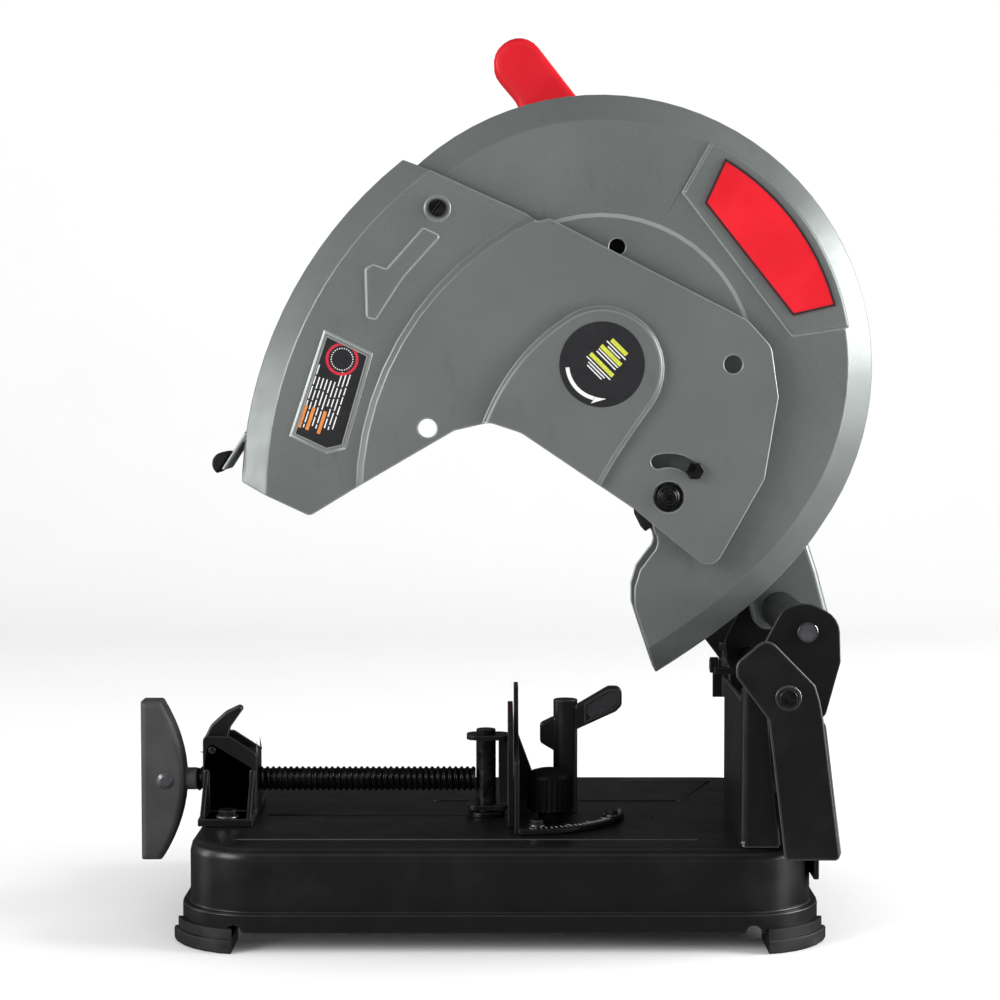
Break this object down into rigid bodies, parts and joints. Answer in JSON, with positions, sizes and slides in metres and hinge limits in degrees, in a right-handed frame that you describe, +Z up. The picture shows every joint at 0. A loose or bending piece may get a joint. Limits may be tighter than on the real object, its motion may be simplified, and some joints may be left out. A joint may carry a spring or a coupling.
{
  "type": "abrasive chop saw",
  "caption": "Bench chop saw for cutting metal: pressed base, hinged head with upper and swinging lower guards, screw vise, mitre fence, battery motor and D-handle.",
  "frame": {"origin": "middle of the whole saw's footprint box, on the floor under the rubber feet", "axes": "+X to the rear, where the head is hinged; +Y to the motor side; +Z up"},
  "size_m": [0.5001, 0.3375, 0.6096],
  "materials": {
    "painted_black": "satin black powder coat",
    "cast_grey": "satin grey enamel on pressed steel and castings",
    "black_oxide": "oiled black oxide",
    "steel": "ground steel",
    "rubber": "matte moulded rubber",
    "dark_plastic": "fine textured nylon",
    "red_plastic": "satin red moulding",
    "copper": "enamelled copper windings"
  },
  "bodies": {
    "base": {"base_tray": "painted_black", "foot_front_near": "rubber", "foot_rear_near": "rubber", "foot_front_far": "rubber", "foot_rear_far": "rubber", "tower_leg_near": "painted_black", "tower_leg_far": "painted_black", "tower_front_post": "painted_black", "tower_cross_panel": "painted_black", "hinge_shaft": "black_oxide", "return_spring": "steel", "stop_bracket": "painted_black", "stop_bolt": "black_oxide", "vise_bracket": "painted_black", "bracket_bolt_near": "black_oxide", "bracket_bolt_far": "black_oxide", "lever_pin": "steel"},
    "head": {"ear_near": "painted_black", "ear_far": "painted_black", "ear_bolt": "black_oxide", "head_arm": "cast_grey", "gear_cover": "cast_grey", "spindle_bearing": "steel", "rotor_bearing_front": "steel", "rotor_bearing_rear": "steel", "stator": "copper", "motor_housing": "dark_plastic", "motor_end_cap": "dark_plastic", "d_handle": "red_plastic", "rear_housing": "dark_plastic", "upper_guard": "cast_grey", "badge_plate": "red_plastic", "spark_deflector": "rubber", "guard_pivot_bolt": "black_oxide", "guard_limit_bolt": "black_oxide"},
    "lower_guard": {"lower_guard": "cast_grey", "guard_cover_screw": "black_oxide", "guard_bumper": "rubber"},
    "spindle": {"spindle": "steel", "inner_flange": "steel", "outer_flange": "steel", "arbor_bolt": "black_oxide", "spindle_gear": "steel"},
    "rotor": {"rotor": "steel", "cooling_fan": "dark_plastic"},
    "trigger": {"trigger": "dark_plastic"},
    "lock_off": {"lock_off_button": "dark_plastic"},
    "spindle_lock": {"spindle_lock_button": "black_oxide"},
    "battery": {"battery": "red_plastic"},
    "vise_slide": {"jaw_post": "black_oxide"},
    "vise_screw": {"vise_screw": "black_oxide", "crank_handle": "dark_plastic", "crank_rivet": "black_oxide"},
    "vise_jaw": {"vise_jaw": "painted_black"},
    "release_lever": {"release_lever": "painted_black"},
    "fence": {"fence_plate": "painted_black", "fence_bolt_near": "black_oxide", "fence_bolt_rear": "black_oxide"},
    "clamp_lever": {"clamp_lever": "painted_black"},
    "fence_knob": {"fence_knob": "dark_plastic"}
  },
  "joints": [
    {"name": "head_pivot", "type": "hinge", "parent": "base", "child": "head", "pos_m": [0.1727, 0, 0.1616], "axis": [0, -1, 0], "range_deg": [0, 40]},
    {"name": "lower_guard_swing", "type": "hinge", "parent": "head", "child": "lower_guard", "pos_m": [0.1074, -0.028, 0.2807], "axis": [0, 1, 0], "range_deg": [0, 60]},
    {"name": "spindle_spin", "type": "hinge", "parent": "head", "child": "spindle", "pos_m": [0.0615, 0.014, 0.368], "axis": [0, 1, 0], "continuous": true},
    {"name": "rotor_spin", "type": "hinge", "parent": "head", "child": "rotor", "pos_m": [0.09572, 0.094, 0.4197], "axis": [0, 1, 0], "continuous": true},
    {"name": "trigger_pull", "type": "slide", "parent": "head", "child": "trigger", "axis": [0.7071, 0, 0.7071], "range_m": [0, 0.0025]},
    {"name": "lock_off_press", "type": "slide", "parent": "head", "child": "lock_off", "axis": [0, 1, 0], "range_m": [0, 0.004]},
    {"name": "spindle_lock_press", "type": "slide", "parent": "head", "child": "spindle_lock", "axis": [1, 0, 0], "range_m": [0, 0.003]},
    {"name": "battery_slide", "type": "slide", "parent": "head", "child": "battery", "axis": [-1, 0, 0], "range_m": [0, 0.07]},
    {"name": "vise_travel", "type": "slide", "parent": "base", "child": "vise_slide", "axis": [-1, 0, 0], "range_m": [0, 0.128]},
    {"name": "vise_screw_turn", "type": "hinge", "parent": "vise_slide", "child": "vise_screw", "pos_m": [-0.0075, -0.046, 0.09], "axis": [1, 0, 0], "range_deg": [0, 11520.01]},
    {"name": "jaw_swivel", "type": "hinge", "parent": "vise_slide", "child": "vise_jaw", "pos_m": [-0.017, -0.046, 0.09], "axis": [0, 0, 1], "range_deg": [-45, 0]},
    {"name": "release_lever_tilt", "type": "hinge", "parent": "base", "child": "release_lever", "pos_m": [-0.201, -0.046, 0.1117], "axis": [0, -1, 0], "range_deg": [0, 60]},
    {"name": "fence_miter", "type": "hinge", "parent": "base", "child": "fence", "pos_m": [-0.017, -0.046, 0.069], "axis": [0, 0, 1], "range_deg": [-45, 0]},
    {"name": "clamp_lever_turn", "type": "hinge", "parent": "fence", "child": "clamp_lever", "pos_m": [0.0365, -0.058, 0.1], "axis": [0, 0, -1], "range_deg": [0, 90]},
    {"name": "fence_knob_turn", "type": "hinge", "parent": "fence", "child": "fence_knob", "pos_m": [0.0255, -0.091, 0.09], "axis": [0, 0, 1], "continuous": true}
  ],
  "couplings": [
    {"joint": "lower_guard_swing", "follows": "head_pivot", "ratio": 1.5},
    {"joint": "rotor_spin", "follows": "spindle_spin", "ratio": -4},
    {"joint": "vise_travel", "follows": "vise_screw_turn", "m_per_rad": 0.00063662},
    {"joint": "jaw_swivel", "follows": "fence_miter", "ratio": 1}
  ]
}
